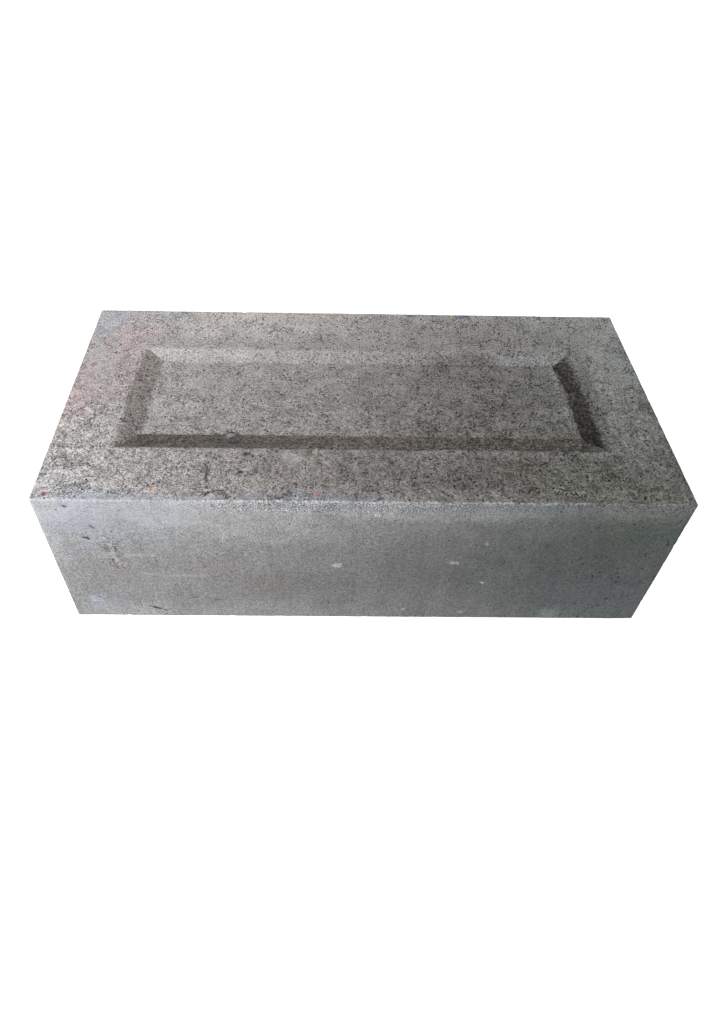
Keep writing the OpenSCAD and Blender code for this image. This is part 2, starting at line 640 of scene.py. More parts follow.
def lay_out(bm):
    """Unfolds the brick like a box, so that a bake of its surface has six plain panels."""
    layer = bm.loops.layers.uv.new("OFBake")
    width, depth, height = HIGH - LOW
    gap = 6 * MM
    sheet = max(width + height + 3 * gap, 2 * depth + 2 * height + 5 * gap)
    row_two = depth + 2 * gap
    row_three = row_two + depth + gap
    row_four = row_three + height + gap
    column_two = width + 2 * gap
    panels = {
        (2, 1): (0, 1, gap, gap),
        (2, -1): (0, 1, gap, row_two),
        (1, -1): (0, 2, gap, row_three),
        (1, 1): (0, 2, gap, row_four),
        (0, 1): (2, 1, column_two, gap),
        (0, -1): (2, 1, column_two, row_two),
    }
    for face in bm.faces:
        axis = max(range(3), key=lambda i: abs(face.normal[i]))
        sign = 1 if face.normal[axis] > 0 else -1
        across, up, left, bottom = panels[axis, sign]
        for loop in face.loops:
            place = loop.vert.co - LOW
            loop[layer].uv = ((left + place[across]) / sheet, (bottom + place[up]) / sheet)


# Soft stains and patches of painted light and shade: centre and reach in millimetres, tint, strength
STAINS_AND_LIGHT = (
    # the bed's rosy left margin, the lilac dust at its back-left corner and edges, partly painted reflection
    # of a bluish light, and the dust along its front arris
    ((-98, 22, TOP), (14, 36, 8), (1.05, 0.96, 0.99), 1.0),
    ((-112, -2, TOP), (9, 20, 8), (1.08, 0.96, 1.00), 1.0),
    ((-96, 38, TOP), (10, 12, 8), (1.06, 0.99, 1.01), 0.8),
    ((-109, 46, TOP), (12, 14, 8), (0.96, 1.00, 1.06), 1.0),
    ((111, 25, TOP), (7, 16, 8), (0.95, 0.99, 1.04), 1.0),
    ((-86, 52, TOP), (30, 5, 8), (0.98, 1.00, 1.06), 0.8),
    ((-80, -53, TOP), (50, 6, 8), (0.95, 0.97, 1.00), 1.0),
    ((-20, -53, TOP), (40, 5, 8), (0.90, 0.93, 0.98), 0.9),
    ((60, -54, TOP), (56, 3, 8), (0.84, 0.84, 0.86), 1.0),
    ((-58, -54, TOP), (22, 3, 8), (1.12, 1.12, 1.12), 1.0),
    # paler and darker stretches of the bed: painted light and shade, partly also the mix's own tone
    ((-45, 47, TOP), (54, 16, 8), (1.20, 1.20, 1.20), 1.0),
    ((60, 44, TOP), (46, 16, 8), (0.88, 0.88, 0.88), 1.0),
    ((104, -6, TOP), (14, 54, 8), (1.24, 1.26, 1.26), 1.0),
    ((-5, -38, TOP), (56, 14, 8), (0.90, 0.90, 0.90), 1.0),
    ((46, -42, TOP), (36, 12, 8), (0.77, 0.77, 0.75), 1.0),
    ((84, -44, TOP), (26, 12, 8), (0.96, 0.97, 0.92), 1.0),
    ((-106, -44, TOP), (14, 14, 8), (0.95, 0.98, 1.03), 1.0),
    # a smooth pale patch on the bed; on the frog, painted light on its back wall, a painted highlight along
    # the ridge of its right crease, painted shade on its back wall's right part, along its right rim and in
    # its front left corner, and a dark spot at the lump on its front crease
    ((-26, -34.4, TOP), (5.5, 3.8, 6), (1.36, 1.36, 1.36), 0.9),
    ((70, 24, TOP), (12, 4.5, 6), (1.02, 1.07, 1.13), 0.9),
    ((92, 22, TOP), (9, 10, 6), (0.92, 0.92, 0.92), 0.8),
    ((42, 24, TOP), (23, 5.5, 6), (0.70, 0.69, 0.69), 1.0),
    ((80.8, 0, 72.6), (1.1, 19, 6), (1.22, 1.24, 1.24), 1.0),
    ((80.9, 14, 72.6), (1.3, 6, 6), (1.22, 1.24, 1.24), 1.0),
    ((81.2, -14, 72.6), (1.3, 4, 6), (1.16, 1.18, 1.18), 1.0),
    ((92.2, 0, TOP), (3.2, 30, 5), (0.78, 0.78, 0.78), 1.0),
    ((-49.4, -20.4, 73), (4.6, 2.4, 4), (0.5, 0.5, 0.5), 0.9),
    ((-84, -25.5, 74), (10, 4, 6), (0.84, 0.84, 0.84), 0.9),
    # bloom at the front face's upper left, partly painted reflection of a bluish light, a lilac spot, and
    # darker skin towards its right, partly painted shade
    ((-90, FRONT, 66), (42, 8, 27), (0.955, 0.97, 1.005), 1.0),
    ((-98, FRONT, 60), (22, 8, 20), (1.03, 1.05, 1.09), 1.0),
    ((-112, FRONT, 73), (14, 8, 5), (0.88, 0.88, 0.88), 1.0),
    ((-69, FRONT, 66), (15, 8, 8), (1.05, 1.06, 1.08), 1.0),
    ((-15, FRONT, 62), (62, 8, 15), (1.20, 1.20, 1.20), 0.9),
    ((-54, FRONT, 60), (40, 8, 18), (1.10, 1.10, 1.10), 1.0),
    ((48, FRONT, 68), (15, 8, 7), (1.16, 1.16, 1.15), 1.0),
    ((20, FRONT, 70), (9, 8, 5), (0.88, 0.88, 0.88), 1.0),
    ((22, FRONT, 74.5), (54, 8, 3), (1.16, 1.16, 1.17), 1.0),
    ((-32, FRONT, 26), (42, 8, 13), (0.94, 0.94, 0.94), 1.0),
    ((72, FRONT, 30), (38, 8, 26), (0.92, 0.92, 0.92), 1.0),
    ((85, FRONT, 64), (30, 8, 12), (1.02, 1.00, 0.96), 1.0),
    ((30, FRONT, 70), (60, 8, 7), (1.30, 1.31, 1.33), 1.0),
    ((98, FRONT, 71), (34, 8, 7), (1.36, 1.32, 1.30), 1.0),
    ((-104.6, FRONT, 13.6), (4.4, 8, 3.2), (1.17, 1.21, 1.33), 1.0),
    ((-104, FRONT, 9), (10, 8, 9), (1.03, 1.05, 1.10), 1.0),
    ((-96, FRONT, 5), (24, 8, 10), (1.16, 1.17, 1.20), 0.9),
    ((-30, FRONT, 6), (44, 8, 8), (1.18, 1.17, 1.15), 0.8),
    ((85, FRONT, 46), (44, 8, 24), (0.86, 0.90, 0.88), 1.0),
    ((100, FRONT, 62), (22, 8, 12), (0.94, 0.98, 0.92), 1.0),
    ((30, FRONT, 38), (36, 8, 20), (0.92, 0.93, 0.94), 0.8),
    ((78, FRONT, 4), (5.5, 8, 4.5), (1.45, 1.52, 1.56), 0.9),
    ((50, FRONT, 7), (70, 8, 7), (1.07, 1.07, 1.05), 1.0),
    ((-92.3, FRONT, 44), (4.0, 8, 13), (1.00, 1.03, 1.06), 0.9),
    ((-57, FRONT, 33), (16, 8, 9), (1.03, 0.98, 0.99), 1.0),
    ((-36, FRONT, 24), (16, 8, 12), (1.05, 0.99, 0.98), 1.0),
    # the headers and the back face, marked as the others are
    ((RIGHT, -20, 52), (8, 26, 20), (1.12, 1.12, 1.12), 1.0),
    ((RIGHT, 30, 24), (8, 26, 18), (0.88, 0.89, 0.88), 1.0),
    ((LEFT, -24, 26), (8, 26, 18), (0.90, 0.89, 0.88), 1.0),
    ((LEFT, 26, 56), (8, 24, 16), (1.12, 1.13, 1.15), 1.0),
    ((-52, BACK, 30), (52, 8, 24), (1.10, 1.10, 1.11), 1.0),
    ((58, BACK, 48), (44, 8, 24), (0.88, 0.89, 0.88), 1.0),
    ((20, BACK, 8), (60, 8, 8), (1.14, 1.14, 1.13), 1.0),
)

# Smooth films of fines over the open grain: centre and reach in millimetres, strength
FILMS = (
    ((-75, -54.5, TOP), (55, 3, 4), 0.4),
    ((0, -54.5, TOP), (45, 3, 4), 0.4),
    ((75, -54.5, TOP), (40, 2.5, 4), 0.4),
    ((-66, 24.7, TOP), (40, 4.5, 5), 0.3),
    ((-26, -34.4, TOP), (5.5, 3.8, 4), 0.9),
    ((-108, 47, TOP), (12, 12, 4), 0.5),
    ((-105, 18, TOP), (10, 36, 4), 0.3),
)

# Scuffs that open the skin of the front face: centre and reach in millimetres, strength
SCUFFS = (
    ((-92.4, FRONT, 48), (5.5, 4, 12), 0.9),
    ((-91.6, FRONT, 38.5), (5.0, 4, 11), 0.9),
    ((-73.8, FRONT, 27), (5, 4, 2.2), 0.5),
    ((-84.3, FRONT, 33), (5, 4, 2.0), 0.4),
    ((-59, FRONT, 55), (6, 4, 4), 0.4),
    ((-27, FRONT, 50), (6, 4, 3), 0.4),
    ((-57, FRONT, 12), (6, 4, 3), 0.4),
    ((-38, FRONT, 66), (16, 4, 4), 0.4),
)

# Painted light and shade of the frog's walls: the back wall, facing the lamp, is made lighter and the left,
# front and right walls darker
WALL_LIGHT_AND_SHADE = {
    LEFT_WALL: (0.68, 0.66, 0.64),
    RIGHT_WALL: (0.22, 0.205, 0.19),
    FRONT_WALL: (0.42, 0.395, 0.37),
    BACK_WALL: (1.08, 1.08, 1.10),
}

# Small flecks: centre in millimetres, reach, colour
RED, DARK_RED, ORANGE, OCHRE = (0.32, 0.06, 0.07), (0.18, 0.07, 0.08), (0.50, 0.22, 0.09), (0.40, 0.36, 0.20)
ROSE, BLUE, DARK_BLUE = (0.36, 0.21, 0.21), (0.18, 0.22, 0.32), (0.05, 0.07, 0.12)
PALE, WHITE, DUSTY, CHALK = (0.56, 0.58, 0.60), (0.72, 0.75, 0.79), (0.34, 0.32, 0.30), (0.50, 0.48, 0.44)
FLECKS = (
    # the bed and the frog
    ((-101.9, 44.7, TOP), 0.86, RED), ((-105.8, 29.3, TOP), 0.86, RED), ((-97.8, 25.6, TOP), 0.78, RED),
    ((-113.4, 10.8, TOP), 1.17, ROSE), ((-112.1, -4, TOP), 1.25, ROSE), ((-113.2, -7.4, TOP), 1.01, RED),
    ((-112.9, 42.5, TOP), 0.78, RED), ((-109.4, 17, TOP), 1.56, ROSE), ((-46.9, -31, TOP), 0.78, RED),
    ((-31.7, -39.1, TOP), 0.94, RED), ((-15.2, -44.2, TOP), 0.78, RED), ((-16.7, -51.8, TOP), 1.72, ROSE),
    ((-110.3, -52.4, TOP), 1.33, DARK_RED), ((-73.3, -50.3, TOP), 1.01, ORANGE),
    ((70.9, 54, TOP), 1.01, ORANGE), ((47, 53, TOP), 1.87, BLUE), ((49.5, 54, TOP), 1.25, DARK_BLUE),
    ((-109.8, -27.4, TOP), 1.01, BLUE), ((-86.8, -53.5, TOP), 1.01, BLUE),
    ((-23.6, -50.5, TOP), 1.25, BLUE), ((-12.4, -52.4, TOP), 0.94, BLUE),
    ((87, -35.4, TOP), 1.17, DARK_BLUE), ((91.7, -34.6, TOP), 1.17, DARK_BLUE),
    ((-17.4, -31.2, TOP), 1.09, OCHRE), ((-49.8, -21.6, 72.8), 1.5, DUSTY),
    ((-48.7, -21.3, 72.8), 1.2, DUSTY),
    # the front face
    ((32.2, FRONT, 67.6), 1.05, BLUE), ((3.9, FRONT, 68.3), 1.5, PALE), ((-9.1, FRONT, 37.4), 1.9, PALE),
    ((33.9, FRONT, 39.5), 1.0, PALE), ((35, FRONT, 39.6), 1.1, PALE), ((36.2, FRONT, 39.7), 1.0, PALE),
    ((47.8, FRONT, 26.5), 0.95, WHITE), ((45.3, FRONT, 51.4), 0.8, WHITE),
    ((18.6, FRONT, 6.8), 0.9, WHITE), ((42.6, FRONT, 4.8), 1.3, PALE),
    # the headers and the back face
    ((RIGHT, -28, 40), 1.7, PALE), ((RIGHT, 14, 61), 1.5, PALE), ((RIGHT, 33, 17), 1.7, WHITE),
    ((RIGHT, -8, 9), 1.5, PALE), ((LEFT, 22, 41), 1.6, PALE), ((LEFT, -35, 62), 1.6, WHITE),
    ((LEFT, 3, 13), 1.7, PALE), ((-69, BACK, 49), 1.7, PALE), ((-22, BACK, 23), 1.6, WHITE),
    ((35, BACK, 60), 1.5, PALE), ((84, BACK, 31), 1.7, WHITE), ((61, BACK, 11), 1.6, PALE),
)

# Scratches of the front face: points in millimetres, reach, colour, strength
SCRATCHES = (
    (((-89.5, FRONT, 42.6), (-84, FRONT, 43.3), (-77, FRONT, 42.8)), 0.8, CHALK, 0.27),
    (((-83, FRONT, 31.4), (-76, FRONT, 30), (-68, FRONT, 29.4), (-59, FRONT, 29.6)), 0.8, CHALK, 0.24),
    (((-93.4, FRONT, 51.5), (-92.4, FRONT, 47), (-92.2, FRONT, 44)), 0.9, CHALK, 0.26),
    (((-92.2, FRONT, 42), (-91.4, FRONT, 39), (-91.2, FRONT, 36)), 0.9, CHALK, 0.32),
)


def wall_shade_share(share, side):
    """How much of a wall's painted light and shade shows a share of the way down it: the right wall's rim
    fades slowly.
    """
    rim = 0.38 if side == RIGHT_WALL else 0.09
    return smooth(share, 0.0, rim) * smooth(1 - share, 0.0, 0.07)


def wall_light(point, side):
    """How the painted shade changes along a wall: the right one darkens to the front and the front one to the
    left.
    """
    if side == RIGHT_WALL:
        return 0.52 + 0.48 * smooth(point.y, -26 * MM, -12 * MM) + 0.6 * smooth(point.y, 16 * MM, 26 * MM)
    if side == FRONT_WALL:
        return 0.90 + 0.52 * smooth(point.x, -65 * MM, 0) - 0.14 * smooth(point.x, 50 * MM, 62 * MM)
    return 1.0


def bed_tint(point, shape):
    """The upper bed's colour: paler at its back and darker to its right, partly painted light, greenish at
    its right, with painted shade on the right of the frog's floor and painted light and shade in the frog's
    walls.
    """
    across, back = point.x / HIGH.x, point.y / HIGH.y
    # painted light: paler towards the back and darker towards the right, partly also the mix's own tone
    tone = math.exp(-0.26 * across + 0.38 * back + 0.12 * back * back)
    damp = smooth(across, 0.1, 0.95)
    trend = (1 - 0.06 * damp, 1.0, 1 - 0.03 * smooth(across, -0.2, 0.8) * (1 - back))
    share, side = pressed_wall(point, shape)
    shade_share = wall_shade_share(share, side)
    # painted shade: the frog's floor darker towards its right
    tone *= 1 - 0.20 * smooth(share, 0.97, 1.0) * smooth(across, -0.1, 0.35)
    light = wall_light(point, side)
    # the frog's walls take their painted light and shade, fading in from the rim
    walls = [1 + shade_share * (part * light - 1) for part in WALL_LIGHT_AND_SHADE[side]]
    return [tone * part * wall for part, wall in zip(trend, walls, strict=True)]


def face_tint(point):
    """An upright face's colour: darker and greenish at the right, the darkening partly a painted falloff of
    light, and paler towards its arrises.
    """
    across = point.x / HIGH.x
    up = point.z / HIGH.z * 2 - 1
    # painted light, in part: darker towards the right, where the lamp's light falls off
    tone = 0.82 * math.exp(-0.16 * across - 0.07 * across * up + 0.12 * up * up)
    tone *= 1 + 0.14 * math.exp(-arris_distance(point) / (5 * MM))
    return [tone * (1 - 0.07 * smooth(across, 0.25, 0.75)), tone, tone]


def tint_mesh(surface, shape):
    """Colour factor of each corner of the mesh, with the stains and the painted light and shade."""
    tints = []
    for point, normal in surface.corners:
        tints.append(bed_tint(point, shape) if on_bed(normal) else face_tint(point))
    for centre, reach, stain_and_light, strength in STAINS_AND_LIGHT:
        for index, share in surface.patch(centre, reach):
            mixed = strength * share
            tints[index] = [t * (1 + mixed * (c - 1)) for t, c in zip(tints[index], stain_and_light, strict=True)]
    return tints


def film_mesh(surface):
    """How thickly fines cover the grain at each corner of the mesh: fully on a mould-rubbed face."""
    films = [1 - normal.z**2 for normal in surface.normals]
    for centre, reach, strength in FILMS:
        for index, share in surface.patch(centre, reach):
            films[index] = max(films[index], strength * share)
    for centre, reach, strength in SCUFFS:
        for index, share in surface.patch(centre, reach):
            films[index] *= 1 - strength * share
    return films


def wall_crumb_share(point, normal, shape):
    """How strongly the patchy crumbs show: only in the frog's walls, and most where their painted shade is
    darkest.
    """
    if not on_bed(normal):
        return 0.0
    share, side = pressed_wall(point, shape)
    rough = 0.5 + 0.5 * smooth(point.x, -40 * MM, 40 * MM)
    return rough * wall_shade_share(share, side) * max(1 - WALL_LIGHT_AND_SHADE[side][1], 0.0)


def fleck_mesh(surface):
    """Share and colour of the flecks and scratches at each corner of the mesh."""
    shares = [0.0] * len(surface.points)
    colours = [PALE] * len(surface.points)
    spots = [(Vector(centre) * MM, radius, colour, 0.9) for centre, radius, colour in FLECKS]
    for points, radius, colour, most in SCRATCHES:
        spots += [(centre, radius, colour, most) for centre in walk(points)]
    for centre, radius, colour, most in spots:
        for index, share in surface.near(centre, (radius * MM,) * 3, 0.4, 1.6 * MM):
            part = min(most, 2.0 * share)
            if part > shares[index]:
                shares[index], colours[index] = part, colour
    return shares, colours


def mark_corners(mesh, surface, hollow, shape):
    """Keeps on each corner of the mesh the numbers and colours that the material reads."""
    fleck_shares, flecks = fleck_mesh(surface)
    numbers = {
        "rubbed": film_mesh(surface),
        "hollow": [depth / MM for depth in hollow],
        # worn: how pale an arris shows, partly wear and partly painted highlight
        "worn": [worn_and_lit_share(point) for point in surface.points],
        "crumbly": [crumbly_share(point) for point in surface.points],
        "open": [open_share(point, normal) for point, normal in surface.corners],
        "grit": [grit_share(point, normal) for point, normal in surface.corners],
        # damp: how strongly the crumbs show in the frog's walls, most where their painted shade is darkest
        "damp": [wall_crumb_share(point, normal, shape) for point, normal in surface.corners],
        "fleck_share": fleck_shares,
    }
    for name, values in numbers.items():
        layer = mesh.attributes.new(name, "FLOAT", "POINT")
        layer.data.foreach_set("value", values)
    for name, colours in {"tint": tint_mesh(surface, shape), "fleck": flecks}.items():
        layer = mesh.attributes.new(name, "FLOAT_COLOR", "POINT")
        layer.data.foreach_set("color", [part for colour in colours for part in (*colour, 1.0)])


# ---------------------------------------------------------------- materials


class Recipe:
    """Builds the nodes of a material or of the world, with patterns in the brick's own coordinates."""

    def __init__(self, owner):
        owner.use_nodes = True
        self.nodes = owner.node_tree.nodes
        self.links = owner.node_tree.links
        self.nodes.clear()

    @functools.cached_property
    def place(self):
        """The brick's own coordinates."""
        return self.add("ShaderNodeTexCoord").outputs["Object"]

    def feed(self, socket, value):
        """Sets an input to a number, a vector or a colour, or links it to the output that gives it."""
        if isinstance(value, bpy.types.NodeSocket):
            self.links.new(value, socket)
        elif socket.type == "RGBA":
            socket.default_value = (*value[:3], 1)
        else:
            socket.default_value = value

    def add(self, kind, inputs=None, **settings):
        """A new node with its settings and inputs."""
        node = self.nodes.new(kind)
        for name, value in settings.items():
            setattr(node, name, value)
        for key, value in (inputs or {}).items():
            self.feed(node.inputs[key], value)
        return node

    def noise(self, size, detail=2.0, roughness=0.5, shift=0.0, stretch=(1, 1, 1)):
        """Noise from 0 to 1 with lumps of the given size in metres."""
        mapping = self.add(
            "ShaderNodeMapping",
            {"Vector": self.place, "Location": (shift, shift, shift), "Scale": stretch},
        )
        inputs = {
            "Vector": mapping.outputs[0],
            "Scale": 1 / size,
            "Detail": detail,
            "Roughness": roughness,
        }
        return self.add("ShaderNodeTexNoise", inputs).outputs["Fac"]

    def ruffle(self, size, reach):
        """The brick's coordinates, shaken by noise with lumps of the given size."""
        shake = self.add("ShaderNodeTexNoise", {"Vector": self.place, "Scale": 1 / size, "Detail": 1.0})
        middle = {0: shake.outputs["Color"], 1: (0.5, 0.5, 0.5)}
        centred = self.add("ShaderNodeVectorMath", middle, operation="SUBTRACT").outputs[0]
        scaled = self.add("ShaderNodeVectorMath", {0: centred, "Scale": reach}, operation="SCALE").outputs[0]
        return self.add("ShaderNodeVectorMath", {0: self.place, 1: scaled}, operation="ADD").outputs[0]

    def cells(self, size, shift, place):
        """Scattered cells of the given size in metres."""
        mapping = self.add("ShaderNodeMapping", {"Vector": place, "Location": (shift, shift, shift)})
        return self.add("ShaderNodeTexVoronoi", {"Vector": mapping.outputs[0], "Scale": 1 / size})

    def chance(self, cells, which=0):
        """One of a cell's three random numbers from 0 to 1."""
        return self.add("ShaderNodeSeparateColor", {0: cells.outputs["Color"]}).outputs[which]

    def dots(self, cells, radius, edge=0.08):
        """A soft-edged dot in the middle of each cell: 1 inside and 0 outside."""
        return self.between(self.math("SUBTRACT", radius, cells.outputs["Distance"]), 0.0, edge)

    def mark(self, name):
        """The number kept on the mesh under a name."""
        return self.add("ShaderNodeAttribute", attribute_name=name).outputs["Fac"]

    def mark_colour(self, name):
        """The colour kept on the mesh under a name."""
        return self.add("ShaderNodeAttribute", attribute_name=name).outputs["Color"]

    def math(self, operation, first, second=0.0, clamp=False):
        """One sum of two numbers."""
        node = self.add("ShaderNodeMath", {0: first, 1: second}, operation=operation, use_clamp=clamp)
        return node.outputs[0]

    def times(self, *parts):
        """The product of numbers."""
        return functools.reduce(functools.partial(self.math, "MULTIPLY"), parts)

    def between(self, value, low, high, start=0.0, end=1.0):
        """Goes smoothly from start to end as value goes from low to high."""
        inputs = {"Value": value, "From Min": low, "From Max": high, "To Min": start, "To Max": end}
        return self.add("ShaderNodeMapRange", inputs, interpolation_type="SMOOTHSTEP").outputs[0]

    def contrast(self, tone, middle, strength):
        """A tone drawn away from its middle by a strength."""
        return self.math("ADD", self.times(self.math("SUBTRACT", tone, middle), strength), middle)

    def blend(self, share, first, second, kind="MIX"):
        """Two colours mixed by a share."""
        inputs = {0: share, 6: first, 7: second}
        return self.add("ShaderNodeMix", inputs, data_type="RGBA", blend_type=kind).outputs[2]

    def shade(self, colour, tone):
        """A colour times a tone."""
        grey = self.add("ShaderNodeCombineColor", {0: tone, 1: tone, 2: tone}).outputs[0]
        return self.blend(1.0, colour, grey, "MULTIPLY")

    def seen(self):
        """1 for what the camera sees itself or through gloss or glass, and 0 for the light that falls."""
        path = self.add("ShaderNodeLightPath").outputs
        direct = self.math("MAXIMUM", path["Is Camera Ray"], path["Is Glossy Ray"])
        return self.math("MAXIMUM", direct, path["Is Transmission Ray"])


def bed_grain(mix, colours, ruffled, grit):
    """The beds' open grain with its gaps and pits: the colour, the height, the grains' tone and the pits."""
    fine = mix.noise(0.00062, 1.0, 0.6, 0.1)
    coarse = mix.noise(0.0014, 2.0, 0.6, 0.2)
    clots = mix.between(mix.noise(0.0036, 2.0, 0.6, 0.25), 0.34, 0.66, 0.84, 1.16)
    lumps = mix.times(mix.between(coarse, 0.30, 0.60, 0.72, 1.20), clots)
    lumps = mix.between(mix.mark("open"), 0.1, 1.0, 1.0, lumps)
    grains = mix.times(mix.between(fine, 0.30, 0.57, 0.48, 1.24), lumps)
    grains = mix.contrast(grains, 0.95, grit)

    gap = mix.math("ABSOLUTE", mix.math("SUBTRACT", mix.noise(0.0017, 1.0, 0.5, 0.3), 0.5))
    gap_width = mix.between(mix.noise(0.0060, 2.0, 0.6, 0.4), 0.36, 0.64, 0.0, 0.040)
    gaps = mix.between(mix.math("SUBTRACT", gap_width, gap), -0.004, 0.014)
    cells = mix.cells(0.0015, 0.6, ruffled)
    pits = mix.dots(cells, mix.between(mix.chance(cells), 0.45, 1.0, 0.0, 0.33))
    dark = mix.math("MAXIMUM", mix.times(gaps, 0.62), mix.times(pits, 0.85))
    dark = mix.math("MULTIPLY", dark, grit, clamp=True)

    colour = mix.blend(dark, mix.shade(colours.bed, grains), colours.pore)
    height = mix.math("SUBTRACT", grains, mix.times(dark, 0.9))
    return colour, height, grains, pits


def face_skin(mix, colours, ruffled, grit, pits):
    """The faces' sandy skin with its pinholes and crumbs: the colour, the height and the sand's tone."""
    sand = mix.between(mix.noise(0.00052, 1.0, 0.6, 0.5), 0.30, 0.64, 0.62, 1.28)
    dust = mix.between(mix.noise(0.0016, 2.0, 0.6, 0.7), 0.32, 0.68, 0.89, 1.11)
    streaks = mix.between(mix.noise(0.0013, 2.0, 0.6, 0.8, (1, 1, 0.05)), 0.3, 0.7, 0.96, 1.04)
    clouds = mix.between(mix.noise(0.0085, 3.0, 0.6, 1.8, (1, 1, 0.3)), 0.3, 0.7, 0.95, 1.05)
    crumbly = mix.mark("crumbly")
    crumbs = mix.between(mix.noise(0.00055, 1.0, 0.7, 1.1), 0.36, 0.64, 0.60, 1.44)
    tone = mix.times(sand, streaks, dust, clouds, mix.between(crumbly, 0.0, 1.0, 1.0, crumbs))
    tone = mix.contrast(tone, 1.0, grit)

    cells = mix.cells(0.0020, 0.9, ruffled)
    radius = mix.between(mix.times(mix.chance(cells), mix.mark("open")), 0.42, 1.0, 0.0, 0.31)
    pinholes = mix.dots(cells, radius, 0.06)
    dark = mix.math("MAXIMUM", mix.times(pinholes, 0.68), mix.times(pits, crumbly, 0.70))
    cells = mix.cells(0.0012, 1.5, ruffled)
    specks = mix.dots(cells, mix.between(mix.chance(cells), 0.80, 1.0, 0.0, 0.34))
    pale = mix.between(mix.chance(cells, 1), 0.70, 0.74)

    colour = mix.blend(dark, mix.shade(colours.face, tone), colours.pore)
    colour = mix.blend(mix.times(specks, 0.65), colour, mix.blend(pale, colours.pore, colours.bloom))
    height = mix.math("SUBTRACT", mix.times(tone, 0.5), mix.times(pinholes, 0.6))
    return colour, height, sand


def wall_crumbs(mix, ruffled, grains):
    """The patchy tone of the crumbled mix in the frog's walls, which also carry painted shade."""
    crumbs = mix.between(mix.chance(mix.cells(0.0009, 1.6, ruffled)), 0.0, 1.0, 0.62, 1.42)
    patches = mix.between(mix.noise(0.0013, 2.0, 0.6, 1.6), 0.36, 0.64, 0.78, 1.28)
    tone = mix.times(crumbs, patches, mix.math("MINIMUM", grains, 1.0))
    return mix.between(mix.mark("damp"), 0.0, 0.9, 1.0, tone)


def arris_bloom_and_highlight(mix):
    """How much pale colour shows on the arrises, in ragged bright stretches: partly lime bloom on the worn
    arrises, partly painted highlight.
    """
    ragged = mix.between(mix.noise(0.0012, 2.0, 0.7, 1.7), 0.35, 0.65, 0.35, 1.2)
    bright = mix.between(mix.noise(0.0060, 3.0, 0.7, 1.9), 0.40, 0.56, 0.15, 0.95)
    return mix.times(mix.between(mix.times(mix.mark("worn"), ragged), 0.30, 0.65), bright)


def cured_ash_mix(colours):
    """Cured grey mix: open speckled grain on the beds and a smooth sandy skin on the faces."""
    material = bpy.data.materials.new("cured_ash_mix")
    mix = Recipe(material)
    rubbed, grit = mix.mark("rubbed"), mix.mark("grit")
    ruffled = mix.ruffle(0.0011, 0.0009)
    bed, bed_height, grains, pits = bed_grain(mix, colours, ruffled, grit)
    skin, skin_height, sand = face_skin(mix, colours, ruffled, grit, pits)

    blotches = mix.between(mix.noise(0.012, 4.0, 0.6, 1.3), 0.3, 0.7, 0.93, 1.07)
    tint = mix.shade(mix.mark_colour("tint"), blotches)
    # the tint carries the stains and the painted light and shade
    colour = mix.blend(1.0, mix.blend(rubbed, bed, skin), tint, "MULTIPLY")
    # patchy crumbs over the frog walls' painted shade
    colour = mix.shade(colour, wall_crumbs(mix, ruffled, grains))
    # painted shade: dents, pits and cracks darkened towards the pore colour by their depth
    colour = mix.blend(mix.between(mix.mark("hollow"), 0.14, 0.45, 0.0, 0.85), colour, colours.pore)
    # pale arrises: partly lime bloom, partly painted highlight
    colour = mix.blend(arris_bloom_and_highlight(mix), colour, colours.bloom)
    colour = mix.blend(mix.mark("fleck_share"), colour, mix.shade(mix.mark_colour("fleck"), sand))

    height = mix.between(rubbed, 0.0, 1.0, bed_height, skin_height)
    bump = mix.add("ShaderNodeBump", {"Strength": 0.7, "Distance": 0.0002, "Height": height})
    inputs = {
        "Base Color": colour,
        "Roughness": mix.between(rubbed, 0.0, 1.0, 0.95, 0.8),
        "Normal": bump.outputs[0],
        "Specular IOR Level": 0.15,
    }
    shader = mix.add("ShaderNodeBsdfPrincipled", inputs)
    mix.add("ShaderNodeOutputMaterial", {"Surface": shader.outputs[0]})
    return material


# ---------------------------------------------------------------- operators


class BRICK_OT_press(bpy.types.Operator):
    """Makes the brick's finished piece around the framed solid"""

    bl_idname = "brick.press"
    bl_label = "Press the brick"

    def execute(self, context):
        shape = context.scene.brick_shape
        bm = bmesh.new()
        rough_block(bm, shape.arris)
        press_frog(bm)
        cut_cells(bm, shape.arris, shape.bed_cell)
        bm.normal_update()
        lay_out(bm)
        surface = Surface(bm)
        sculpt(bm, shape)
        hollow = dent(bm, surface, scattered_pits(shape) + arris_chips(shape) + landmarks())
        for face in bm.faces:
            face.smooth = True
        mesh = bpy.data.meshes.new("pressed_brick")
        bm.to_mesh(mesh)
        bm.free()
        mark_corners(mesh, surface, hollow, shape)
        mesh.materials.append(cured_ash_mix(context.scene.brick_colours))
        piece = bpy.data.objects.new("pressed_brick", mesh)
        context.scene.collection.objects.link(piece)
        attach(piece, "root")
        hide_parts(NODE)
        return {"FINISHED"}


def floor_material():
    """Pale floor that looks white and still takes the brick's shadow."""
    material = bpy.data.materials.new("pale_floor")
    mix = Recipe(material)
    matte = mix.add("ShaderNodeBsdfDiffuse", {"Color": (0.6, 0.6, 0.6)}).outputs[0]
    white = mix.times(mix.seen(), 0.93)
    glow = mix.add("ShaderNodeEmission", {"Color": (1, 1, 1), "Strength": white}).outputs[0]
    both = mix.add("ShaderNodeAddShader", {0: matte, 1: glow}).outputs[0]
    mix.add("ShaderNodeOutputMaterial", {"Surface": both})
    return material


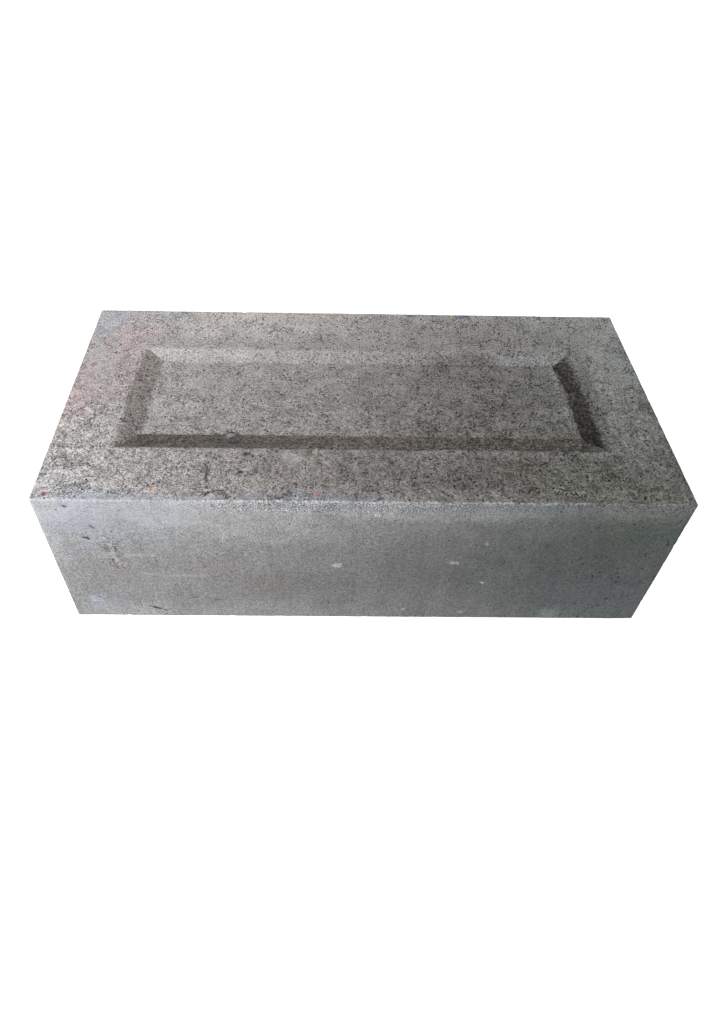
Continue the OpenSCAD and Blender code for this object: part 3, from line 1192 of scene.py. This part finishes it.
def lay_floor(scene):
    """A broad level floor under the brick."""
    bm = bmesh.new()
    bmesh.ops.create_grid(bm, x_segments=1, y_segments=1, size=4.0)
    mesh = bpy.data.meshes.new("floor")
    bm.to_mesh(mesh)
    bm.free()
    mesh.materials.append(floor_material())
    floor = bpy.data.objects.new("floor", mesh)
    scene.collection.objects.link(floor)


def light_room(scene, fill):
    """An even grey room that shows white behind the brick."""
    scene.world = bpy.data.worlds.new("studio")
    mix = Recipe(scene.world)
    level = mix.add("ShaderNodeMapRange", {"Value": mix.seen(), "To Min": fill, "To Max": 1.0}).outputs[0]
    background = mix.add("ShaderNodeBackground", {"Color": (1, 1, 1), "Strength": level}).outputs[0]
    mix.add("ShaderNodeOutputWorld", {"Surface": background})


def hang_lamp(scene, name, watts, width, place):
    """A soft round light, turned to the middle of the brick."""
    light = bpy.data.lights.new(name, "AREA")
    light.shape = "DISK"
    light.size = width
    light.energy = watts
    lamp = bpy.data.objects.new(name, light)
    lamp.location = place
    towards = (LOW + HIGH) / 2 - Vector(place)
    lamp.rotation_euler = towards.to_track_quat("-Z", "Y").to_euler()
    scene.collection.objects.link(lamp)


def set_camera(scene, studio):
    """The camera that the scene is seen through."""
    camera = bpy.data.cameras.new("camera")
    camera.lens = studio.lens
    camera.shift_x, camera.shift_y = studio.shift
    camera.clip_start = 0.01
    camera_object = bpy.data.objects.new("camera", camera)
    camera_object.location = studio.camera_place
    camera_object.rotation_euler = studio.camera_turn
    scene.collection.objects.link(camera_object)
    scene.camera = camera_object


class BRICK_OT_stage(bpy.types.Operator):
    """Sets the floor, the lights and the camera"""

    bl_idname = "brick.stage"
    bl_label = "Set the stage"

    def execute(self, context):
        scene = context.scene
        studio = scene.brick_studio
        lay_floor(scene)
        light_room(scene, studio.fill)
        hang_lamp(scene, "key", studio.key_watts, studio.lamp_width, studio.key_place)
        hang_lamp(scene, "back", studio.back_watts, studio.lamp_width, studio.back_place)
        set_camera(scene, studio)
        scene.view_settings.view_transform = "Standard"
        return {"FINISHED"}


class BRICK_PT_panel(bpy.types.Panel):
    """Lists the brick's settings and operators"""

    bl_label = "Fly Ash Brick"
    bl_idname = "BRICK_PT_panel"
    bl_space_type = "VIEW_3D"
    bl_region_type = "UI"
    bl_category = "Brick"

    def draw(self, context):
        for group in (context.scene.brick_shape, context.scene.brick_colours, context.scene.brick_studio):
            box = self.layout.box()
            for name in group.__annotations__:
                box.prop(group, name)
        self.layout.operator(BRICK_OT_press.bl_idname)
        self.layout.operator(BRICK_OT_stage.bl_idname)


CLASSES = (BrickShape, BrickColours, StudioSettings, BRICK_OT_press, BRICK_OT_stage, BRICK_PT_panel)


def register():
    """Adds the brick's settings, operators and panel."""
    for cls in CLASSES:
        bpy.utils.register_class(cls)
    bpy.types.Scene.brick_shape = PointerProperty(type=BrickShape)
    bpy.types.Scene.brick_colours = PointerProperty(type=BrickColours)
    bpy.types.Scene.brick_studio = PointerProperty(type=StudioSettings)


def unregister():
    """Takes them away again."""
    del bpy.types.Scene.brick_studio
    del bpy.types.Scene.brick_colours
    del bpy.types.Scene.brick_shape
    for cls in reversed(CLASSES):
        bpy.utils.unregister_class(cls)


def main():
    """Makes the brick on its stage."""
    register()
    bpy.ops.brick.press()
    bpy.ops.brick.stage()


if __name__ == "__main__":
    main()
